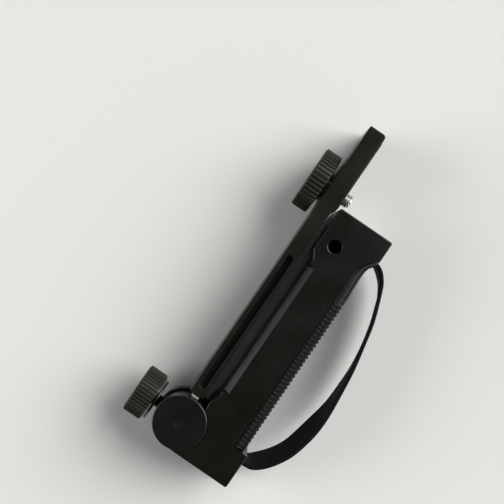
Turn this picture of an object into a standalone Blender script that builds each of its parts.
"""A folding flash bracket: a hand grip with an accessory shoe and a strap, and a camera rail.

The bracket lies on its back, folded. The hinge axis is the Z axis, +Y runs up the grip to the
head, +X points to the palm side, and +Z comes out of the front face. Lengths are in metres.
"""

import math

import bmesh
import bpy
from mathutils import Matrix, Vector

# Clearances and cutting allowances
GAP = 0.0003
PLAY = 0.0005
OVERRUN = 0.002
MERGE = GAP / 100

# How finely round shapes are divided
DISC_SIDES = 56
ROD_SIDES = 24
SCREW_SIDES = 16
NUT_SIDES = 6
CORNER_STEPS = 4
SLOT_STEPS = 8
BEVEL_STEPS = 2
SHARP_ANGLE_DEG = 35
FLAT_SHARE = 0.99

# Grip body
BODY_DEPTH = 0.030
GRIP_LEFT = 0.0075
GRIP_RIGHT = 0.0306
BASE_RIGHT = 0.0321
BASE_TOP = 0.0043
GRIP_WALL = 0.0024
EDGE_BEVEL = 0.0006
BASE_CORNER = 0.0010

# Palm side of the grip: a rounded band that carries the ribbed panel
PALM_EDGE = 0.0251
PALM_ROUND_DEPTH = 0.0090
PANEL_TOP = 0.0804
PANEL_THICKNESS = 0.0020
RIB_PITCH = 0.0020
RIB_WIDTH = 0.0011
RIB_HEIGHT = 0.0005
PALM_STEPS = 3

# Stopped chamfers along the rail side of the grip
CHAMFER = 0.0029
CHAMFER_STEP = 0.0018
CHAMFER_HIGH = 0.0873

# Hollow inside the grip
HOLLOW_LOW = 0.0180
HOLLOW_HIGH = 0.0930
HOLLOW_LEFT_WALL = 0.0030
HOLLOW_RIGHT_WALL = 0.0070

# Neck and head
HEAD_LEFT = 0.0053
HEAD_RIGHT = 0.0320
HEAD_TOP = 0.1148
HEAD_LOW_LEFT = 0.0938
HEAD_LOW_RIGHT = 0.1018
HEAD_TAPER = 0.0036
HEAD_CORNER = 0.0008
NECK_RIGHT = 0.0298
NECK_WAIST = 0.0970
NECK_STEPS = 6

# Hinge, from the middle of the fork outwards
HINGE_RADIUS = 0.0119
KNUCKLE_WIDTH = 0.0116
KNUCKLE_INSET = 0.0010
FRICTION_THICKNESS = 0.0006
FRICTION_INSET = 0.0009
FORK_CLEARANCE = 0.0016
BOLT_RADIUS = 0.0030
BOLT_HEAD_RADIUS = 0.0050
BOLT_HEAD_HEIGHT = 0.0026
NUT_CORNER_RADIUS = 0.0058
NUT_HEIGHT = 0.0026
CAP_SEAT_DEPTH = 0.0020
CAP_PROUD = 0.0006
CAP_CHAMFER = 0.0004
CAP_MARK_RADIUS = 0.0025
CAP_MARK_DEPTH = 0.0003

# Shoulder of the grip beside the hinge
SHOULDER_LEFT = 0.0057
SHOULDER_STEP = 0.0009
SHOULDER_HEIGHT = 0.0016
SHOULDER_RISE = 0.0050
SHOULDER_ROUND = 0.0024
SHOULDER_MEETS_DEG = 58.5

# Tongue that joins the knuckle to the rail, with a flange across the rail's end
TONGUE_THICKNESS = 0.0034
TONGUE_LEFT = -0.0024
TONGUE_LENGTH = 0.0185
FLANGE_INSET = 0.0022

# Rail
RAIL_LEFT = -0.0042
RAIL_THICKNESS = 0.0069
RAIL_SIDE_INSET = 0.0015
RAIL_END = 0.1514
RAIL_CLEARANCE = 0.0016
RAIL_OUTER_ROUND = 0.0016
RAIL_INNER_ROUND = 0.0008
POCKET_LEFT_WALL = 0.0020
POCKET_RIGHT_WALL = 0.0017
POCKET_DEPTH = 0.0048
POCKET_INSET = 0.0043
POCKET_HIGH = 0.0858
RAIL_SCREW_INSET = 0.0054
RAIL_SCREW_SINK = 0.0009
RAIL_SCREW_PITCH = 0.0080

# Camera pad, in a framed recess at the outer end of the rail
PAD_LOW = 0.1135
PAD_HIGH = 0.1480
PAD_RECESS = 0.0005
PAD_PROUD = 0.0017
PAD_SIDE_MARGIN = 0.0013
PAD_CORNER = 0.0015
PAD_FRAME = 0.0010
FRAME_DROP = 0.0003

# Camera screw, its slot and its knob
SCREW_REST = 0.1200
SCREW_TRAVEL = 0.0220
SCREW_RADIUS = 0.003175
SCREW_REACH = 0.0038
SCREW_CHAMFER = 0.0006
SCREW_HEAD_RADIUS = 0.0050
SCREW_HEAD_HEIGHT = 0.0030
SCREW_GROOVE_DEPTH = 0.0006
CLIP_THICKNESS = 0.0008
CLIP_RADIUS = 0.0050
CLIP_MOUTH = 0.0046
SLIDE_WASHER_RADIUS = 0.0070
SLIDE_WASHER_THICKNESS = 0.0006
CAMERA_KNOB_RADIUS = 0.01445
CAMERA_KNOB_RIM = 0.0080
CAMERA_KNOB_RIDGES = 45
CAMERA_KNOB_RIDGE_HEIGHT = 0.0006
CAMERA_HUB_RADIUS = 0.0073
CAMERA_HUB_HEIGHT = 0.0006
CAMERA_DISH_RADIUS = 0.0105
CAMERA_DISH_DEPTH = 0.0008
CAMERA_KNOB_FACE = 0.0016

# Lock knob, its stud, insert and washer
STUD_RADIUS = 0.0030
STUD_LENGTH = 0.0165
STUD_WALL = 0.0012
CLAMP_TRAVEL = 0.0010
CLAMP_CLEARANCE = 0.0004
CLAMP_WASHER_RADIUS = 0.0096
CLAMP_WASHER_THICKNESS = 0.0012
LOCK_KNOB_RADIUS = 0.0114
LOCK_KNOB_LENGTH = 0.0093
LOCK_KNOB_RIDGES = 44
LOCK_KNOB_RIDGE_HEIGHT = 0.0005
LOCK_COLLAR_LENGTH = 0.0010
LOCK_COLLAR_RADIUS = 0.0105
LOCK_DISH_RADIUS = 0.0080
LOCK_DISH_DEPTH = 0.0006
INSERT_RADIUS = 0.0046
INSERT_LENGTH = 0.0062
INSERT_RECESS = 0.0003

# Accessory shoe in the head
SHOE_FOOT_WIDTH = 0.0187
SHOE_SHEET = 0.0010
SHOE_CHANNEL = 0.0021
SHOE_MOUTH = 0.0126
SHOE_SINK = 0.0002
SHOE_SINK_BACK = 0.0008
HEAD_FRONT_WALL = 0.0026
SPRING_SHEET = 0.0004
SPRING_BOW = 0.0005
SPRING_WIDTH = 0.0100
SPRING_LENGTH = 0.0220
SPRING_WINDOW_WIDTH = 0.0056
SPRING_WINDOW_LENGTH = 0.0190
SPRING_STEPS = 8
SHOE_SCREW_SPACING = 0.0140
SHOE_SCREW_HEAD = 0.0022
SHOE_SCREW_RADIUS = 0.0011
SHOE_SCREW_LENGTH = 0.0060

# Shell screws
SHELL_SCREW_RADIUS = 0.0014
SHELL_SCREW_HEAD = 0.0027
SHELL_SCREW_HEAD_HEIGHT = 0.0020
SHELL_SCREW_RECESS = 0.0030
SHELL_SCREW_SEAT = 0.0035
SHELL_SCREW_REACH = 0.0085
SHELL_SCREW_DRIVE = 0.0009
# Each screw: its name, its place in x and y, and whether it is driven from the front
SHELL_SCREWS = (
    ("upper_shell_screw", (0.0124, 0.0997), True),
    ("lower_shell_screw", (0.0195, -0.0058), False),
)

# Strap and its anchor pins
STRAP_WIDTH = 0.0150
STRAP_THICKNESS = 0.0018
STRAP_REACH = 0.0244
STRAP_STEPS = 3
STRAP_HIDDEN_COUNT = 2
UPPER_PIN = (0.0270, 0.1047)
LOWER_PIN = (0.0264, -0.0018)
PIN_RADIUS = 0.0015
PIN_SINK = 0.0045
# Each pair: how far up from the lower pin to the upper, and how far out from the pins' line
STRAP_SHARES = (
    (0.000, 0.000),
    (0.019, 0.282),
    (0.035, 0.442),
    (0.084, 0.646),
    (0.152, 0.816),
    (0.231, 0.912),
    (0.315, 0.972),
    (0.396, 0.998),
    (0.490, 0.986),
    (0.605, 0.944),
    (0.763, 0.810),
    (0.860, 0.671),
    (0.906, 0.584),
    (0.948, 0.473),
    (0.986, 0.283),
    (1.000, 0.000),
)

# Derived places along the depth of the body
MIDDLE = BODY_DEPTH / 2
FORK_HALF = KNUCKLE_WIDTH / 2 + 2 * GAP + FRICTION_THICKNESS
FRONT_SEAT = BODY_DEPTH - CAP_SEAT_DEPTH
REAR_SEAT = CAP_SEAT_DEPTH

# Derived places of the shoulder, which follows the hinge
SHOULDER_LOW = HINGE_RADIUS + SHOULDER_STEP
SHOULDER_HIGH = SHOULDER_LOW + SHOULDER_HEIGHT
SHOULDER_END = SHOULDER_HIGH + SHOULDER_RISE
CHAMFER_LOW = SHOULDER_END + CHAMFER_STEP

# Derived places of the rail
RAIL_RIGHT = RAIL_LEFT + RAIL_THICKNESS
RAIL_START = HINGE_RADIUS + RAIL_CLEARANCE
RAIL_LOW_Z = RAIL_SIDE_INSET
RAIL_HIGH_Z = BODY_DEPTH - RAIL_SIDE_INSET
POCKET_LOW = RAIL_START + POCKET_INSET
RAIL_SCREW_LOW = RAIL_START + RAIL_SCREW_INSET
PAD_FLOOR = RAIL_RIGHT - PAD_RECESS
PAD_FACE = RAIL_RIGHT + PAD_PROUD
FRAME_FACE = PAD_FACE - FRAME_DROP
TONGUE_RIGHT = TONGUE_LEFT + TONGUE_THICKNESS
TONGUE_END = RAIL_START + TONGUE_LENGTH
CLIP_FLOOR = PAD_FLOOR - CLIP_THICKNESS - 2 * GAP - PLAY / 2
KNUCKLE_RADIUS = HINGE_RADIUS - KNUCKLE_INSET
KNOB_HUB_FACE = RAIL_LEFT - 2 * GAP - SLIDE_WASHER_THICKNESS
KNOB_RIM_FACE = KNOB_HUB_FACE - CAMERA_HUB_HEIGHT
KNOB_OUTER_FACE = KNOB_RIM_FACE - CAMERA_KNOB_RIM
SCREW_HOLE = SCREW_RADIUS + GAP

# Derived places of the lock, which points along -X at rest
CLAMP_FACE = -(HINGE_RADIUS + CLAMP_CLEARANCE + CLAMP_TRAVEL)
LOCK_FACE = CLAMP_FACE - CLAMP_WASHER_THICKNESS - GAP
STUD_START = -(BOLT_RADIUS + GAP + STUD_WALL)
STUD_HOLE = STUD_RADIUS + GAP

# Derived places of the shoe
HEAD_MIDDLE = (HEAD_LEFT + HEAD_RIGHT) / 2
SHOE_HALF = SHOE_FOOT_WIDTH / 2 + SHOE_SHEET
SHOE_TOP = HEAD_TOP - SHOE_SINK
SHOE_SEAT = SHOE_TOP - SHOE_SHEET - SHOE_CHANNEL
SHOE_BOTTOM = SHOE_SEAT - SHOE_SHEET
SHOE_FRONT = BODY_DEPTH - HEAD_FRONT_WALL - GAP


bpy.ops.object.select_all(action="DESELECT")
for leftover in list(bpy.data.objects):
    bpy.data.objects.remove(leftover, do_unlink=True)

PARTS = bpy.data.collections.new("flash_bracket")
CUTTERS = bpy.data.collections.new("cutters")
bpy.context.scene.collection.children.link(PARTS)
bpy.context.scene.collection.children.link(CUTTERS)
CUTTERS.hide_render = True

ALONG_X = Matrix.Rotation(math.radians(90), 4, "Y")
ALONG_Y = Matrix.Rotation(math.radians(-90), 4, "X")


def finish(name, colour, roughness, metallic=0.0):
    """A Principled BSDF material with one colour."""
    material = bpy.data.materials.new(name)
    material.use_nodes = True
    shader = material.node_tree.nodes["Principled BSDF"]
    shader.inputs["Base Color"].default_value = (*colour, 1.0)
    shader.inputs["Roughness"].default_value = roughness
    shader.inputs["Metallic"].default_value = metallic
    material.diffuse_color = (*colour, 1.0)
    return material


def put(obj, collection):
    """Links the object into one collection only."""
    for other in list(obj.users_collection):
        other.objects.unlink(obj)
    collection.objects.link(obj)
    return obj


def as_part(obj, name, material, parent=None):
    """Names a finished piece, gives it its material and hangs it on its joint's empty."""
    obj.name = name
    obj.data.name = name
    obj.data.materials.clear()
    obj.data.materials.append(material)
    obj.data.shade_smooth()
    obj.data.set_sharp_from_angle(angle=math.radians(SHARP_ANGLE_DEG))
    put(obj, PARTS)
    if parent is not None:
        bpy.context.view_layer.update()
        obj.parent = parent
        obj.matrix_parent_inverse = parent.matrix_world.inverted()
    return obj


def mesh_object(name, shape, place=None):
    """An object from a bmesh. Its place is set on the object."""
    mesh = bpy.data.meshes.new(name)
    shape.to_mesh(mesh)
    shape.free()
    obj = bpy.data.objects.new(name, mesh)
    if place is not None:
        obj.matrix_world = place
    return put(obj, CUTTERS)


def rod(name, radius, low, high, place=None, sides=ROD_SIDES):
    """A cylinder from low to high along the local Z axis."""
    shape = bmesh.new()
    bmesh.ops.create_cone(
        shape, cap_ends=True, segments=sides, radius1=radius, radius2=radius, depth=high - low
    )
    bmesh.ops.translate(shape, verts=shape.verts, vec=(0, 0, (low + high) / 2))
    return mesh_object(name, shape, place)


def block(name, low, high):
    """A box between two corners."""
    shape = bmesh.new()
    bmesh.ops.create_cube(shape, size=1)
    size = Vector(high) - Vector(low)
    bmesh.ops.scale(shape, verts=shape.verts, vec=size)
    bmesh.ops.translate(shape, verts=shape.verts, vec=(Vector(low) + Vector(high)) / 2)
    return mesh_object(name, shape)


def plate(name, outline, low, high, place=None):
    """A flat outline in the local XY plane, filled and thickened from low to high."""
    curve = bpy.data.curves.new(name, "CURVE")
    curve.dimensions = "2D"
    curve.fill_mode = "BOTH"
    curve.extrude = (high - low) / 2
    spline = curve.splines.new("POLY")
    spline.points.add(len(outline) - 1)
    for point, (x, y) in zip(spline.points, outline):
        point.co = (x, y, 0, 1)
    spline.use_cyclic_u = True
    guide = bpy.data.objects.new(name, curve)
    put(guide, CUTTERS)
    bpy.context.view_layer.update()
    graph = bpy.context.evaluated_depsgraph_get()
    mesh = bpy.data.meshes.new_from_object(guide.evaluated_get(graph))
    bpy.data.objects.remove(guide, do_unlink=True)
    shape = bmesh.new()
    shape.from_mesh(mesh)
    bpy.data.meshes.remove(mesh)
    bmesh.ops.remove_doubles(shape, verts=shape.verts, dist=MERGE)
    bmesh.ops.recalc_face_normals(shape, faces=shape.faces)
    flat = [e for e in shape.edges if all(abs(f.normal.z) > FLAT_SHARE for f in e.link_faces)]
    bmesh.ops.dissolve_edges(shape, edges=flat, use_verts=False)
    bmesh.ops.translate(shape, verts=shape.verts, vec=(0, 0, (low + high) / 2))
    return mesh_object(name, shape, place)


def turned(name, profile, place=None, steps=ROD_SIDES):
    """A turned piece. The profile holds (radius, height) pairs down its outer side."""
    mesh = bpy.data.meshes.new(name)
    points = [(radius, 0, height) for radius, height in profile]
    mesh.from_pydata(points, [(i, i + 1) for i in range(len(points) - 1)], [])
    obj = bpy.data.objects.new(name, mesh)
    if place is not None:
        obj.matrix_world = place
    put(obj, CUTTERS)
    screw = obj.modifiers.new("turn", "SCREW")
    screw.axis = "Z"
    screw.steps = steps
    screw.render_steps = steps
    screw.use_merge_vertices = True
    screw.merge_threshold = MERGE
    return obj


def boolean(obj, other, operation):
    """Cuts the other shape from the piece, joins it on, or keeps what both share."""
    put(other, CUTTERS)
    other.hide_render = True
    other.display_type = "WIRE"
    step = obj.modifiers.new(other.name, "BOOLEAN")
    step.operation = operation
    step.solver = "EXACT"
    step.object = other
    return obj


def cut(obj, *others):
    for other in others:
        boolean(obj, other, "DIFFERENCE")
    return obj


def join(obj, *others):
    for other in others:
        boolean(obj, other, "UNION")
    return obj


def arc(centre_x, centre_y, radius_x, radius_y, start_deg, end_deg, steps):
    """Points along part of an ellipse, both ends included."""
    points = []
    for i in range(steps + 1):
        turn = math.radians(start_deg + (end_deg - start_deg) * i / steps)
        points.append((centre_x + radius_x * math.cos(turn), centre_y + radius_y * math.sin(turn)))
    return points


def circle(centre, radius, sides):
    """The corners of a regular outline."""
    return arc(centre[0], centre[1], radius, radius, 0, 360, sides)[:-1]


def rounded(corners):
    """An outline from (x, y, radius) corners, each radius drawn as an arc."""
    points = []
    for i, (x, y, radius) in enumerate(corners):
        if not radius:
            points.append((x, y))
            continue
        here = Vector((x, y))
        before = (Vector(corners[i - 1][:2]) - here).normalized()
        after = (Vector(corners[(i + 1) % len(corners)][:2]) - here).normalized()
        half = before.angle(after) / 2
        centre = here + (before + after).normalized() * (radius / math.sin(half))
        start = here + before * (radius / math.tan(half)) - centre
        end = here + after * (radius / math.tan(half)) - centre
        sweep = start.angle_signed(end)
        for step in range(CORNER_STEPS + 1):
            turned_by = Matrix.Rotation(-sweep * step / CORNER_STEPS, 2)
            points.append(tuple(centre + turned_by @ start))
    return points


def stadium(low, high, radius):
    """A slot outline along Y between two centres at x = 0."""
    top = arc(0, high, radius, radius, 0, 180, SLOT_STEPS)
    return top + arc(0, low, radius, radius, 180, 360, SLOT_STEPS)


def smooth_path(points, steps):
    """A Catmull-Rom curve through the points."""
    path = []
    for i in range(len(points) - 1):
        p1, p2 = Vector(points[i]), Vector(points[i + 1])
        p0 = Vector(points[i - 1]) if i else 2 * p1 - p2
        p3 = Vector(points[i + 2]) if i + 2 < len(points) else 2 * p2 - p1
        for step in range(steps):
            t = step / steps
            path.append(
                (
                    2 * p1
                    + (p2 - p0) * t
                    + (2 * p0 - 5 * p1 + 4 * p2 - p3) * t**2
                    + (3 * p1 - p0 - 3 * p2 + p3) * t**3
                )
                / 2
            )
    path.append(Vector(points[-1]))
    return path


def band_outline(path, thickness):
    """The outline of a band of even thickness along a path."""
    left, right = [], []
    for i, point in enumerate(path):
        along = path[min(i + 1, len(path) - 1)] - path[max(i - 1, 0)]
        side = Vector((-along.y, along.x)).normalized() * (thickness / 2)
        left.append(tuple(point + side))
        right.append(tuple(point - side))
    return right + left[::-1]


def ridged(radius, height, count):
    """The outline of a ridged knob."""
    valley_share, slope_share = 0.30, 0.15
    shares = (0.0, valley_share, valley_share + slope_share, 1.0 - slope_share)
    radii = (radius - height, radius - height, radius, radius)
    points = []
    for ridge in range(count):
        for share, reach in zip(shares, radii):
            turn = math.tau * (ridge + share) / count
            points.append((reach * math.cos(turn), reach * math.sin(turn)))
    return points


def soften_face(obj, height):
    """Bevels the outline's edge at one height of a plate."""
    weights = obj.data.attributes.new("bevel_weight_edge", "FLOAT", "EDGE")
    for edge in obj.data.edges:
        ends = [obj.data.vertices[i].co.z for i in edge.vertices]
        on_face = all(abs(z - height) < MERGE for z in ends)
        weights.data[edge.index].value = 1.0 if on_face else 0.0
    bevel = obj.modifiers.new("edge", "BEVEL")
    bevel.limit_method = "WEIGHT"
    bevel.width = EDGE_BEVEL
    bevel.segments = BEVEL_STEPS
    obj.modifiers.new("facets", "TRIANGULATE")


def joint_empty(name, place, parent=None):
    """An empty on a joint's axis."""
    empty = bpy.data.objects.new(name, None)
    empty.empty_display_size = HINGE_RADIUS
    PARTS.objects.link(empty)
    empty.location = place
    bpy.context.view_layer.update()
    if parent is not None:
        empty.parent = parent
        empty.matrix_parent_inverse = parent.matrix_world.inverted()
    return empty


# Materials, one finish for each sub-part
BLACK_ABS = (0.020, 0.020, 0.018)
DARK_ABS = (0.014, 0.014, 0.013)
RUBBER = (0.010, 0.010, 0.010)
WEBBING = (0.008, 0.008, 0.009)
STEEL = (0.62, 0.62, 0.60)
ZINC = (0.55, 0.56, 0.57)
BRASS = (0.60, 0.43, 0.18)

hinge_axis = joint_empty("rail_fold_axis", (0, 0, MIDDLE))
lock_axis = joint_empty("lock_turn_axis", (LOCK_FACE, 0, MIDDLE), hinge_axis)
clamp_axis = joint_empty("clamp_travel_axis", (CLAMP_FACE, 0, MIDDLE), hinge_axis)
slide_axis = joint_empty("screw_slide_axis", (RAIL_LEFT, SCREW_REST, MIDDLE), hinge_axis)
screw_axis = joint_empty("screw_turn_axis", (RAIL_LEFT, SCREW_REST, MIDDLE), slide_axis)


def grip_outline():
    """The front view of the grip, anticlockwise from under the hinge.

    Beside the panel it keeps the base's width, which the palm rounding takes down.
    """
    taper_low = HEAD_LOW_LEFT - HEAD_TAPER
    corners = [
        (BASE_RIGHT, -HINGE_RADIUS, BASE_CORNER),
        (BASE_RIGHT, PANEL_TOP, 0),
        (GRIP_RIGHT, PANEL_TOP, 0),
    ]
    for step in range(1, NECK_STEPS + 1):
        share = step / NECK_STEPS
        ease = (1 - math.cos(math.pi * share)) / 2
        height = PANEL_TOP + (NECK_WAIST - PANEL_TOP) * share
        corners.append((GRIP_RIGHT + (NECK_RIGHT - GRIP_RIGHT) * ease, height, 0))
    flare = HEAD_RIGHT - NECK_RIGHT
    rise = HEAD_LOW_RIGHT - NECK_WAIST
    for x, y in arc(NECK_RIGHT + flare, NECK_WAIST, flare, rise, 180, 90, CORNER_STEPS)[1:]:
        corners.append((x, y, 0))
    corners += [
        (HEAD_RIGHT, HEAD_TOP, HEAD_CORNER),
        (HEAD_LEFT, HEAD_TOP, HEAD_CORNER),
        (HEAD_LEFT, HEAD_LOW_LEFT, HEAD_CORNER),
        (GRIP_LEFT, taper_low, HEAD_CORNER),
        (GRIP_LEFT, SHOULDER_END, SHOULDER_ROUND),
        (SHOULDER_LEFT, SHOULDER_HIGH, SHOULDER_ROUND),
        (SHOULDER_LEFT, SHOULDER_LOW, SHOULDER_ROUND),
    ]
    for x, y in arc(0, 0, HINGE_RADIUS, HINGE_RADIUS, SHOULDER_MEETS_DEG, 270, DISC_SIDES // 2):
        corners.append((x, y, 0))
    return rounded(corners)


def palm_profile(inset):
    """The rounded palm side in (x, z), from its front edge round to its rear edge."""
    width = GRIP_RIGHT - PALM_EDGE - inset
    depth = PALM_ROUND_DEPTH - inset
    front = arc(PALM_EDGE, BODY_DEPTH - PALM_ROUND_DEPTH, width, depth, 90, 0, PALM_STEPS)
    rear = arc(PALM_EDGE, PALM_ROUND_DEPTH, width, depth, 0, -90, PALM_STEPS)
    return front + rear


def along_grip(profile):
    """Turns (x, z) points into the plane of a plate that is thickened along Y."""
    return [(x, -z) for x, z in profile]


def palm_plate(name, profile, low, high):
    return plate(name, along_grip(profile), low, high, ALONG_Y)


def waste_outside(profile):
    """The region outside a palm profile, for cutting."""
    far = BASE_RIGHT + OVERRUN
    edge = profile[0][0]
    front = (edge, BODY_DEPTH + OVERRUN)
    rear = (edge, -OVERRUN)
    return [front, *profile, rear, (far, -OVERRUN), (far, BODY_DEPTH + OVERRUN)]


def chamfer_profile(front):
    """The triangle that a stopped chamfer takes off one edge, in (x, z)."""
    out = GRIP_LEFT - OVERRUN
    reach = CHAMFER + OVERRUN
    corners = [(out, reach), (GRIP_LEFT + reach, -OVERRUN), (out, -OVERRUN)]
    if front:
        corners = [(x, BODY_DEPTH - z) for x, z in corners]
    return corners


def strap_path():
    """The strap's middle line, from the lower pin out and up to the upper pin."""
    low, high = Vector(LOWER_PIN), Vector(UPPER_PIN)
    points = []
    for height_share, reach_share in STRAP_SHARES:
        on_line = low.lerp(high, height_share)
        points.append(on_line + Vector((STRAP_REACH * reach_share, 0)))
    return smooth_path(points, STRAP_STEPS)


def strap_pockets():
    """Cutters for the strap's loops and for the slots that it leaves through."""
    path = strap_path()
    half = STRAP_WIDTH / 2 + PLAY
    loop = PIN_RADIUS + GAP + STRAP_THICKNESS + PLAY
    span = STRAP_STEPS * STRAP_HIDDEN_COUNT + 1
    cutters = []
    for name, pin, run in (("lower", LOWER_PIN, path[:span]), ("upper", UPPER_PIN, path[-span:])):
        place = Matrix.Translation((*pin, 0))
        low, high = MIDDLE - half, MIDDLE + half
        cutters.append(rod(f"{name}_loop_pocket", loop, low, high, place))
        exit_slot = band_outline(run, STRAP_THICKNESS + 2 * PLAY)
        cutters.append(plate(f"{name}_strap_slot", exit_slot, low, high))
        reach = BODY_DEPTH - PIN_SINK + GAP
        hole = PIN_RADIUS + GAP
        cutters.append(rod(f"{name}_pin_hole", hole, PIN_SINK - GAP, reach, place))
    return cutters


def shell_screw_place(centre, from_front):
    """Local Z points out of the face that the screw is driven from."""
    place = Matrix.Translation((*centre, MIDDLE))
    if from_front:
        return place
    return place @ Matrix.Rotation(math.radians(180), 4, "X")


def shell_screw_cutters():
    """The recess and the hole of each shell screw."""
    out = MIDDLE + OVERRUN
    hole = SHELL_SCREW_RADIUS + GAP
    low = -SHELL_SCREW_REACH - GAP
    cutters = []
    for name, centre, from_front in SHELL_SCREWS:
        place = shell_screw_place(centre, from_front)
        cutters.append(rod(f"{name}_recess", SHELL_SCREW_RECESS, SHELL_SCREW_SEAT, out, place))
        cutters.append(rod(f"{name}_hole", hole, low, out, place, SCREW_SIDES))
    return cutters


def hinge_cutters():
    """Fork slot, bolt bore, head and nut pockets, and the seats of both caps."""
    out = BODY_DEPTH + OVERRUN
    fork = HINGE_RADIUS + FORK_CLEARANCE
    seat = HINGE_RADIUS + GAP
    head_floor = FRONT_SEAT - BOLT_HEAD_HEIGHT - 2 * GAP
    nut_floor = REAR_SEAT + NUT_HEIGHT + 2 * GAP
    nut = circle((0, 0), NUT_CORNER_RADIUS + 2 * GAP, NUT_SIDES)
    return [
        rod("fork_slot", fork, MIDDLE - FORK_HALF, MIDDLE + FORK_HALF, sides=DISC_SIDES),
        rod("bolt_bore", BOLT_RADIUS + GAP, -OVERRUN, out),
        rod("bolt_head_pocket", BOLT_HEAD_RADIUS + GAP, head_floor, out),
        plate("nut_pocket", nut, -OVERRUN, nut_floor),
        rod("front_cap_seat", seat, FRONT_SEAT, out, sides=DISC_SIDES),
        rod("rear_cap_seat", seat, -OVERRUN, REAR_SEAT, sides=DISC_SIDES),
    ]


def head_cutters():
    """The pocket for the accessory shoe and the holes for its screws."""
    half = SHOE_HALF + GAP
    low = (HEAD_MIDDLE - half, SHOE_BOTTOM - GAP, -OVERRUN)
    high = (HEAD_MIDDLE + half, HEAD_TOP + OVERRUN, SHOE_FRONT + GAP)
    cutters = [block("shoe_pocket", low, high)]
    for name, side in (("front", 1), ("rear", -1)):
        place = shoe_screw_place(side)
        hole = SHOE_SCREW_RADIUS + GAP
        depth = SHOE_SCREW_LENGTH + GAP
        cutters.append(rod(f"shoe_{name}_hole", hole, -depth, 0, place, SCREW_SIDES))
    return cutters


def shoe_screw_place(side):
    """Where a shoe screw's head face lies, with local Z along +Y."""
    middle = MIDDLE + side * SHOE_SCREW_SPACING / 2
    return Matrix.Translation((HEAD_MIDDLE, SHOE_SEAT, middle)) @ ALONG_Y


def grip_cutters():
    """Everything that is taken out of both shells."""
    deep = PANEL_THICKNESS + GAP
    hollow_low = (GRIP_LEFT + HOLLOW_LEFT_WALL, HOLLOW_LOW, GRIP_WALL)
    hollow_high = (GRIP_RIGHT - HOLLOW_RIGHT_WALL, HOLLOW_HIGH, BODY_DEPTH - GRIP_WALL)
    recess = [(x - GAP if x == PALM_EDGE else x, z) for x, z in palm_profile(deep)]
    cutters = [
        palm_plate("palm_rounding", waste_outside(palm_profile(0)), BASE_TOP, HEAD_LOW_RIGHT),
        palm_plate("panel_recess", waste_outside(recess), BASE_TOP, PANEL_TOP),
        palm_plate("front_chamfer", chamfer_profile(True), CHAMFER_LOW, CHAMFER_HIGH),
        palm_plate("rear_chamfer", chamfer_profile(False), CHAMFER_LOW, CHAMFER_HIGH),
        block("grip_hollow", hollow_low, hollow_high),
    ]
    return cutters + hinge_cutters() + head_cutters() + strap_pockets() + shell_screw_cutters()


def make_shells():
    """The two halves of the grip, split at the middle of its depth."""
    cutters = grip_cutters()
    outline = grip_outline()
    halves = (
        ("front_shell", MIDDLE + GAP / 2, BODY_DEPTH, BODY_DEPTH),
        ("rear_shell", 0, MIDDLE - GAP / 2, 0),
    )
    for name, low, high, face in halves:
        shell = plate(name, outline, low, high)
        soften_face(shell, face)
        cut(shell, *cutters)
        as_part(shell, name, finish(f"{name}_black_abs", BLACK_ABS, 0.42))


def make_hinge_caps():
    """Round caps over the bolt's head and over the nut."""
    edge = HINGE_RADIUS - CAP_CHAMFER
    front_face = BODY_DEPTH + CAP_PROUD
    front = [
        (0, front_face - CAP_MARK_DEPTH),
        (CAP_MARK_RADIUS, front_face - CAP_MARK_DEPTH),
        (CAP_MARK_RADIUS, front_face),
        (edge, front_face),
        (HINGE_RADIUS, front_face - CAP_CHAMFER),
        (HINGE_RADIUS, FRONT_SEAT + GAP),
        (0, FRONT_SEAT + GAP),
    ]
    cap = turned("front_hinge_cap", front, steps=DISC_SIDES)
    as_part(cap, "front_hinge_cap", finish("cap_black_abs", BLACK_ABS, 0.38))
    rear = [
        (0, REAR_SEAT - GAP),
        (HINGE_RADIUS, REAR_SEAT - GAP),
        (HINGE_RADIUS, CAP_CHAMFER),
        (edge, 0),
        (0, 0),
    ]
    cap = turned("rear_hinge_cap", rear, steps=DISC_SIDES)
    as_part(cap, "rear_hinge_cap", finish("rear_cap_black_abs", BLACK_ABS, 0.38))


def make_hinge_bolt():
    head_top = FRONT_SEAT - GAP
    head_low = head_top - BOLT_HEAD_HEIGHT
    end = REAR_SEAT + GAP
    profile = [
        (0, head_top),
        (BOLT_HEAD_RADIUS, head_top),
        (BOLT_HEAD_RADIUS, head_low),
        (BOLT_RADIUS, head_low),
        (BOLT_RADIUS, end),
        (0, end),
    ]
    as_part(turned("hinge_bolt", profile), "hinge_bolt", finish("bolt_steel", STEEL, 0.3, 1.0))
    hexagon = circle((0, 0), NUT_CORNER_RADIUS, NUT_SIDES)
    nut = plate("hinge_nut", hexagon, end, end + NUT_HEIGHT)
    cut(nut, rod("nut_bore", BOLT_RADIUS + GAP, end - OVERRUN, end + NUT_HEIGHT + OVERRUN))
    as_part(nut, "hinge_nut", finish("nut_steel", STEEL, 0.35, 1.0))


def make_friction_washers():
    radius = KNUCKLE_RADIUS - FRICTION_INSET
    inner = KNUCKLE_WIDTH / 2 + GAP
    places = (
        ("front_friction_washer", MIDDLE + inner),
        ("rear_friction_washer", MIDDLE - inner - FRICTION_THICKNESS),
    )
    for name, low in places:
        washer = rod(name, radius, low, low + FRICTION_THICKNESS, sides=DISC_SIDES)
        hole = rod(f"{name}_bore", BOLT_RADIUS + GAP, low - OVERRUN, low + OVERRUN)
        as_part(cut(washer, hole), name, finish(f"{name}_nylon", DARK_ABS, 0.5))


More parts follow.
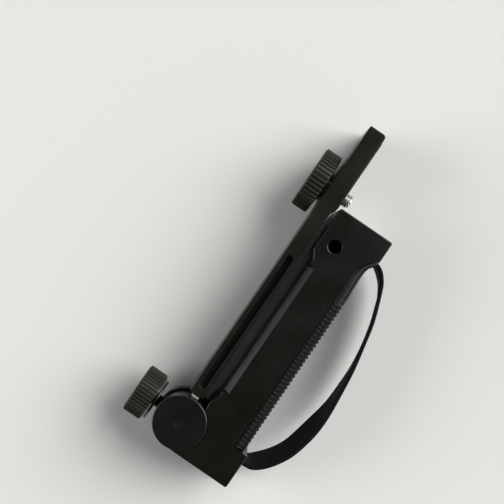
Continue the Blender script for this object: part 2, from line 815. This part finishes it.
def make_knuckle():
    """The bare metal knuckle and the tongue that carries the rail."""
    low, high = MIDDLE - KNUCKLE_WIDTH / 2, MIDDLE + KNUCKLE_WIDTH / 2
    knuckle = rod("hinge_knuckle", KNUCKLE_RADIUS, low, high, sides=DISC_SIDES)
    tongue_outline = [
        (TONGUE_LEFT, KNUCKLE_RADIUS / 2),
        (TONGUE_RIGHT, KNUCKLE_RADIUS / 2),
        (TONGUE_RIGHT, TONGUE_END),
        (TONGUE_LEFT, TONGUE_END),
    ]
    join(knuckle, plate("tongue", tongue_outline, low, high))
    flange_low = (TONGUE_LEFT, HINGE_RADIUS + GAP, FLANGE_INSET)
    flange_high = (TONGUE_RIGHT, RAIL_START - GAP, BODY_DEPTH - FLANGE_INSET)
    join(knuckle, block("flange", flange_low, flange_high))
    stud_place = Matrix.Translation((0, 0, MIDDLE)) @ ALONG_X
    stud_end = -(KNUCKLE_RADIUS + OVERRUN)
    cut(
        knuckle,
        rod("knuckle_bore", BOLT_RADIUS + GAP, low - OVERRUN, high + OVERRUN),
        rod("stud_hole", STUD_HOLE, stud_end, STUD_START + GAP, stud_place),
    )
    for name, height in rail_screw_heights():
        place = Matrix.Translation((0, height, MIDDLE)) @ ALONG_X
        hole = SHELL_SCREW_RADIUS + GAP
        low, high = TONGUE_LEFT - OVERRUN, TONGUE_RIGHT + OVERRUN
        cut(knuckle, rod(f"{name}_tap", hole, low, high, place, SCREW_SIDES))
    as_part(knuckle, "hinge_knuckle", finish("knuckle_zinc", ZINC, 0.35, 1.0), hinge_axis)


def rail_screw_heights():
    return (
        ("rail_screw_inner", RAIL_SCREW_LOW),
        ("rail_screw_outer", RAIL_SCREW_LOW + RAIL_SCREW_PITCH),
    )


def make_rail():
    """The folding rail: a moulded bar with pockets in both narrow sides and a slot."""
    frame_low = PAD_LOW - GAP - PAD_FRAME
    outline = rounded(
        [
            (RAIL_LEFT, RAIL_START, RAIL_INNER_ROUND),
            (RAIL_RIGHT, RAIL_START, RAIL_INNER_ROUND),
            (RAIL_RIGHT, frame_low, 0),
            (FRAME_FACE, frame_low, 0),
            (FRAME_FACE, RAIL_END, RAIL_OUTER_ROUND),
            (RAIL_LEFT, RAIL_END, RAIL_INNER_ROUND),
        ]
    )
    rail = plate("rail", outline, RAIL_LOW_Z, RAIL_HIGH_Z)
    recess_low = (PAD_FLOOR, PAD_LOW - GAP, RAIL_LOW_Z + PAD_SIDE_MARGIN - GAP)
    recess_high = (PAD_FACE + OVERRUN, PAD_HIGH + GAP, RAIL_HIGH_Z - PAD_SIDE_MARGIN + GAP)
    cut(rail, block("pad_recess", recess_low, recess_high))
    pocket_low, pocket_high = RAIL_LEFT + POCKET_LEFT_WALL, RAIL_RIGHT - POCKET_RIGHT_WALL
    for name, low, high in (
        ("front_pocket", RAIL_HIGH_Z - POCKET_DEPTH, RAIL_HIGH_Z + OVERRUN),
        ("rear_pocket", RAIL_LOW_Z - OVERRUN, RAIL_LOW_Z + POCKET_DEPTH),
    ):
        cut(rail, block(name, (pocket_low, POCKET_LOW, low), (pocket_high, POCKET_HIGH, high)))
    socket_half = KNUCKLE_WIDTH / 2 + GAP
    socket_low = (TONGUE_LEFT - GAP, RAIL_START - OVERRUN, MIDDLE - socket_half)
    socket_high = (TONGUE_RIGHT + GAP, TONGUE_END + GAP, MIDDLE + socket_half)
    cut(rail, block("tongue_socket", socket_low, socket_high))
    across = Matrix.Translation((0, 0, MIDDLE)) @ ALONG_X
    slot_low, slot_high = SCREW_REST, SCREW_REST + SCREW_TRAVEL
    through = PAD_FACE + OVERRUN
    slot = stadium(slot_low, slot_high, SCREW_HOLE)
    channel = stadium(slot_low, slot_high, CLIP_RADIUS + GAP)
    cut(rail, plate("camera_slot", slot, RAIL_LEFT - OVERRUN, through, across))
    cut(rail, plate("clip_channel", channel, CLIP_FLOOR, through, across))
    for name, height in rail_screw_heights():
        place = Matrix.Translation((0, height, MIDDLE)) @ ALONG_X
        hole = SHELL_SCREW_RADIUS + GAP
        low = RAIL_LEFT - OVERRUN
        cut(rail, rod(f"{name}_hole", hole, low, TONGUE_RIGHT, place, SCREW_SIDES))
        recess_floor = RAIL_LEFT + RAIL_SCREW_SINK
        recess = rod(f"{name}_recess", SHELL_SCREW_RECESS, low, recess_floor, place, SCREW_SIDES)
        cut(rail, recess)
    as_part(rail, "rail", finish("rail_black_abs", BLACK_ABS, 0.42), hinge_axis)


def make_rail_screws():
    """Screws through the rail's outer face into the tongue, with low heads sunk in it."""
    head_height = SCREW_CHAMFER
    for name, height in rail_screw_heights():
        head_low = RAIL_LEFT + RAIL_SCREW_SINK - GAP
        profile = [
            (0, TONGUE_RIGHT),
            (SHELL_SCREW_RADIUS, TONGUE_RIGHT),
            (SHELL_SCREW_RADIUS, head_low),
            (SHELL_SCREW_HEAD, head_low),
            (SHELL_SCREW_HEAD - head_height, head_low - head_height),
            (0, head_low - head_height),
        ]
        place = Matrix.Translation((0, height, MIDDLE)) @ ALONG_X
        steel = finish(f"{name}_steel", STEEL, 0.35, 1.0)
        as_part(turned(name, profile, place, SCREW_SIDES), name, steel, hinge_axis)


def make_camera_pad():
    """A rubber pad with a slot, in the rail's recess."""
    half = (RAIL_HIGH_Z - RAIL_LOW_Z) / 2 - PAD_SIDE_MARGIN
    outline = rounded(
        [
            (-half, PAD_LOW, PAD_CORNER),
            (half, PAD_LOW, PAD_CORNER),
            (half, PAD_HIGH, PAD_CORNER),
            (-half, PAD_HIGH, PAD_CORNER),
        ]
    )
    across = Matrix.Translation((0, 0, MIDDLE)) @ ALONG_X
    pad = plate("camera_pad", outline, PAD_FLOOR + GAP, PAD_FACE, across)
    slot = stadium(SCREW_REST, SCREW_REST + SCREW_TRAVEL, SCREW_HOLE)
    cut(pad, plate("pad_slot", slot, PAD_FLOOR - OVERRUN, PAD_FACE + OVERRUN, across))
    as_part(pad, "camera_pad", finish("pad_rubber", RUBBER, 0.75), hinge_axis)


def make_camera_screw():
    """The captive camera screw with its clip, washer and knob, all square to the rail."""
    place = Matrix.Translation((0, SCREW_REST, MIDDLE)) @ ALONG_X
    tip = PAD_FACE + SCREW_REACH
    clip_low = CLIP_FLOOR + GAP
    groove_low, groove_high = clip_low - GAP, clip_low + CLIP_THICKNESS + GAP
    groove = SCREW_RADIUS - SCREW_GROOVE_DEPTH
    head_low = KNOB_OUTER_FACE + CAMERA_KNOB_FACE + GAP
    head_high = head_low + SCREW_HEAD_HEIGHT
    profile = [
        (0, tip),
        (SCREW_RADIUS - SCREW_CHAMFER, tip),
        (SCREW_RADIUS, tip - SCREW_CHAMFER),
        (SCREW_RADIUS, groove_high),
        (groove, groove_high),
        (groove, groove_low),
        (SCREW_RADIUS, groove_low),
        (SCREW_RADIUS, head_high),
        (SCREW_HEAD_RADIUS, head_high),
        (SCREW_HEAD_RADIUS, head_low),
        (0, head_low),
    ]
    steel = finish("camera_screw_steel", STEEL, 0.25, 1.0)
    as_part(turned("camera_screw", profile, place), "camera_screw", steel, screw_axis)

    clip = rod("retaining_clip", CLIP_RADIUS, clip_low, clip_low + CLIP_THICKNESS, place)
    cut(clip, rod("clip_bore", groove + GAP, clip_low - OVERRUN, clip_low + OVERRUN, place))
    mouth_low = (clip_low - OVERRUN, SCREW_REST, MIDDLE - CLIP_MOUTH / 2)
    mouth_high = (clip_low + OVERRUN, SCREW_REST + CLIP_RADIUS + OVERRUN, MIDDLE + CLIP_MOUTH / 2)
    cut(clip, block("clip_mouth", mouth_low, mouth_high))
    as_part(clip, "retaining_clip", finish("clip_spring_steel", STEEL, 0.4, 1.0), screw_axis)

    low = KNOB_HUB_FACE + GAP
    washer = rod("slide_washer", SLIDE_WASHER_RADIUS, low, low + SLIDE_WASHER_THICKNESS, place)
    cut(washer, rod("slide_washer_bore", SCREW_HOLE, low - OVERRUN, low + OVERRUN, place))
    as_part(washer, "slide_washer", finish("slide_washer_nylon", DARK_ABS, 0.5), slide_axis)

    outline = ridged(CAMERA_KNOB_RADIUS, CAMERA_KNOB_RIDGE_HEIGHT, CAMERA_KNOB_RIDGES)
    knob = plate("camera_knob", outline, KNOB_OUTER_FACE, KNOB_RIM_FACE, place)
    hub_low = KNOB_RIM_FACE - OVERRUN
    dish_high = KNOB_OUTER_FACE + CAMERA_DISH_DEPTH
    join(knob, rod("camera_hub", CAMERA_HUB_RADIUS, hub_low, KNOB_HUB_FACE, place))
    cut(
        knob,
        rod("camera_dish", CAMERA_DISH_RADIUS, KNOB_OUTER_FACE - OVERRUN, dish_high, place),
        rod("screw_head_pocket", SCREW_HEAD_RADIUS + GAP, head_low - GAP, head_high + GAP, place),
        rod("knob_bore", SCREW_HOLE, head_low, KNOB_HUB_FACE + OVERRUN, place),
    )
    as_part(knob, "camera_knob", finish("camera_knob_abs", DARK_ABS, 0.45), screw_axis)


def make_lock():
    """The lock knob with its stud, brass insert and clamp washer."""
    place = Matrix.Translation((0, 0, MIDDLE)) @ ALONG_X
    stud_out = STUD_START - STUD_LENGTH
    profile = [
        (0, STUD_START),
        (STUD_RADIUS, STUD_START),
        (STUD_RADIUS, stud_out + SCREW_CHAMFER),
        (STUD_RADIUS - SCREW_CHAMFER, stud_out),
        (0, stud_out),
    ]
    steel = finish("stud_steel", STEEL, 0.3, 1.0)
    as_part(turned("lock_stud", profile, place), "lock_stud", steel, hinge_axis)

    low = CLAMP_FACE - CLAMP_WASHER_THICKNESS
    washer = rod("clamp_washer", CLAMP_WASHER_RADIUS, low, CLAMP_FACE, place, DISC_SIDES // 2)
    cut(washer, rod("clamp_bore", STUD_HOLE, low - OVERRUN, CLAMP_FACE + OVERRUN, place))
    as_part(washer, "clamp_washer", finish("clamp_washer_blackened", DARK_ABS, 0.35), clamp_axis)

    insert_high = LOCK_FACE - INSERT_RECESS
    insert_low = insert_high - INSERT_LENGTH
    insert = rod("lock_insert", INSERT_RADIUS, insert_low, insert_high, place)
    cut(insert, rod("insert_bore", STUD_HOLE, insert_low - OVERRUN, LOCK_FACE + OVERRUN, place))
    as_part(insert, "lock_insert", finish("insert_brass", BRASS, 0.35, 1.0), lock_axis)

    outer = LOCK_FACE - LOCK_KNOB_LENGTH
    collar = LOCK_FACE - LOCK_COLLAR_LENGTH
    outline = ridged(LOCK_KNOB_RADIUS, LOCK_KNOB_RIDGE_HEIGHT, LOCK_KNOB_RIDGES)
    knob = plate("lock_knob", outline, outer, collar, place)
    join(knob, rod("lock_collar", LOCK_COLLAR_RADIUS, collar - LOCK_DISH_DEPTH, LOCK_FACE, place))
    stud_room = stud_out - CLAMP_TRAVEL - GAP
    cut(
        knob,
        rod("lock_dish", LOCK_DISH_RADIUS, outer - OVERRUN, outer + LOCK_DISH_DEPTH, place),
        rod("insert_pocket", INSERT_RADIUS + GAP, insert_low - GAP, LOCK_FACE + OVERRUN, place),
        rod("stud_pocket", STUD_HOLE, stud_room, LOCK_FACE, place),
    )
    as_part(knob, "lock_knob", finish("lock_knob_abs", DARK_ABS, 0.45), lock_axis)


def make_shoe():
    """The sheet-metal accessory shoe, its leaf spring and its two screws."""
    left, right = HEAD_MIDDLE - SHOE_HALF, HEAD_MIDDLE + SHOE_HALF
    inner_left, inner_right = left + SHOE_SHEET, right - SHOE_SHEET
    mouth_left = HEAD_MIDDLE - SHOE_MOUTH / 2
    mouth_right = HEAD_MIDDLE + SHOE_MOUTH / 2
    lip_low = SHOE_TOP - SHOE_SHEET
    outline = [
        (left, SHOE_BOTTOM),
        (right, SHOE_BOTTOM),
        (right, SHOE_TOP),
        (mouth_right, SHOE_TOP),
        (mouth_right, lip_low),
        (inner_right, lip_low),
        (inner_right, SHOE_SEAT),
        (inner_left, SHOE_SEAT),
        (inner_left, lip_low),
        (mouth_left, lip_low),
        (mouth_left, SHOE_TOP),
        (left, SHOE_TOP),
    ]
    shoe = plate("cold_shoe", outline, SHOE_SINK_BACK, SHOE_FRONT)
    for name, side in (("shoe_screw_front", 1), ("shoe_screw_rear", -1)):
        place = shoe_screw_place(side)
        head, shank = SHOE_SCREW_HEAD, SHOE_SCREW_RADIUS
        rise = SHOE_SHEET - GAP
        sink = [
            (0, OVERRUN),
            (head + GAP, OVERRUN),
            (head + GAP, 0),
            (shank + GAP, -rise),
            (shank + GAP, -OVERRUN),
            (0, -OVERRUN),
        ]
        cut(shoe, turned(f"{name}_sink", sink, place, SCREW_SIDES))
        profile = [
            (0, 0),
            (head, 0),
            (shank, -rise),
            (shank, -SHOE_SCREW_LENGTH),
            (0, -SHOE_SCREW_LENGTH),
        ]
        steel = finish(f"{name}_steel", STEEL, 0.35, 1.0)
        as_part(turned(name, profile, place, SCREW_SIDES), name, steel)
    as_part(shoe, "cold_shoe", finish("shoe_sheet_steel", STEEL, 0.4, 1.0))

    middle = (SHOE_SINK_BACK + SHOE_FRONT) / 2
    start = SHOE_SEAT + GAP + SPRING_SHEET / 2
    line = []
    for step in range(SPRING_STEPS + 1):
        share = step / SPRING_STEPS
        bow = SPRING_BOW * math.sin(math.pi * share)
        line.append(Vector((middle + SPRING_LENGTH * (share - 1 / 2), start + bow)))
    # The local X of the profile runs along +Z, so the leaf is thickened along -X
    turned_round = Matrix.Rotation(math.radians(-90), 4, "Y")
    across = Matrix.Translation((HEAD_MIDDLE, 0, 0)) @ turned_round
    half = SPRING_WIDTH / 2
    spring = plate("shoe_spring", band_outline(line, SPRING_SHEET), -half, half, across)
    window_half = SPRING_WINDOW_WIDTH / 2
    window_reach = SPRING_WINDOW_LENGTH / 2
    window_low = (HEAD_MIDDLE - window_half, SHOE_SEAT, middle - window_reach)
    window_high = (HEAD_MIDDLE + window_half, SHOE_TOP, middle + window_reach)
    cut(spring, block("spring_window", window_low, window_high))
    as_part(spring, "shoe_spring", finish("spring_steel", STEEL, 0.3, 1.0))


def make_shell_screws():
    """Pan-head screws that hold the shells together."""
    head_low = SHELL_SCREW_SEAT + GAP
    head_high = head_low + SHELL_SCREW_HEAD_HEIGHT
    for name, centre, from_front in SHELL_SCREWS:
        place = shell_screw_place(centre, from_front)
        profile = [
            (0, head_high - SHELL_SCREW_DRIVE),
            (SHELL_SCREW_DRIVE, head_high - SHELL_SCREW_DRIVE),
            (SHELL_SCREW_DRIVE, head_high),
            (SHELL_SCREW_HEAD - SHELL_SCREW_DRIVE, head_high),
            (SHELL_SCREW_HEAD, head_high - SHELL_SCREW_DRIVE),
            (SHELL_SCREW_HEAD, head_low),
            (SHELL_SCREW_RADIUS, head_low),
            (SHELL_SCREW_RADIUS, -SHELL_SCREW_REACH),
            (0, -SHELL_SCREW_REACH),
        ]
        steel = finish(f"{name}_steel", STEEL, 0.35, 1.0)
        as_part(turned(name, profile, place, SCREW_SIDES), name, steel)


def make_palm_panel():
    """The ribbed panel that wraps the palm side of the grip."""
    low, high = BASE_TOP + GAP, PANEL_TOP - GAP
    outer, inner = palm_profile(RIB_HEIGHT), palm_profile(PANEL_THICKNESS)
    panel = palm_plate("palm_panel", outer + inner[::-1], low, high)
    crest, root = palm_profile(0), palm_profile((RIB_HEIGHT + PANEL_THICKNESS) / 2)
    count = int((high - low - RIB_WIDTH) / RIB_PITCH) + 1
    first = (low + high - (count - 1) * RIB_PITCH - RIB_WIDTH) / 2
    ribs = palm_plate("palm_ribs", crest + root[::-1], first, first + RIB_WIDTH)
    copies = ribs.modifiers.new("rows", "ARRAY")
    copies.count = count
    copies.use_relative_offset = False
    copies.use_constant_offset = True
    copies.constant_offset_displace = (0, 0, RIB_PITCH)
    join(panel, ribs)
    as_part(panel, "palm_panel", finish("palm_rubber", RUBBER, 0.7))


def make_strap():
    """The hand strap and the two pins that its ends loop round."""
    low, high = MIDDLE - STRAP_WIDTH / 2, MIDDLE + STRAP_WIDTH / 2
    strap = plate("strap", band_outline(strap_path(), STRAP_THICKNESS), low, high)
    for name, pin in (("upper_strap_pin", UPPER_PIN), ("lower_strap_pin", LOWER_PIN)):
        place = Matrix.Translation((*pin, 0))
        loop = PIN_RADIUS + GAP + STRAP_THICKNESS
        join(strap, rod(f"{name}_loop", loop, low, high, place))
        cut(strap, rod(f"{name}_eye", PIN_RADIUS + GAP, low - OVERRUN, high + OVERRUN, place))
        shaft = rod(name, PIN_RADIUS, PIN_SINK, BODY_DEPTH - PIN_SINK, place)
        as_part(shaft, name, finish(f"{name}_steel", STEEL, 0.4, 1.0))
    as_part(strap, "strap", finish("strap_webbing", WEBBING, 0.85))


make_shells()
make_hinge_caps()
make_hinge_bolt()
make_friction_washers()
make_knuckle()
make_rail()
make_rail_screws()
make_camera_pad()
make_camera_screw()
make_lock()
make_shoe()
make_shell_screws()
make_palm_panel()
make_strap()
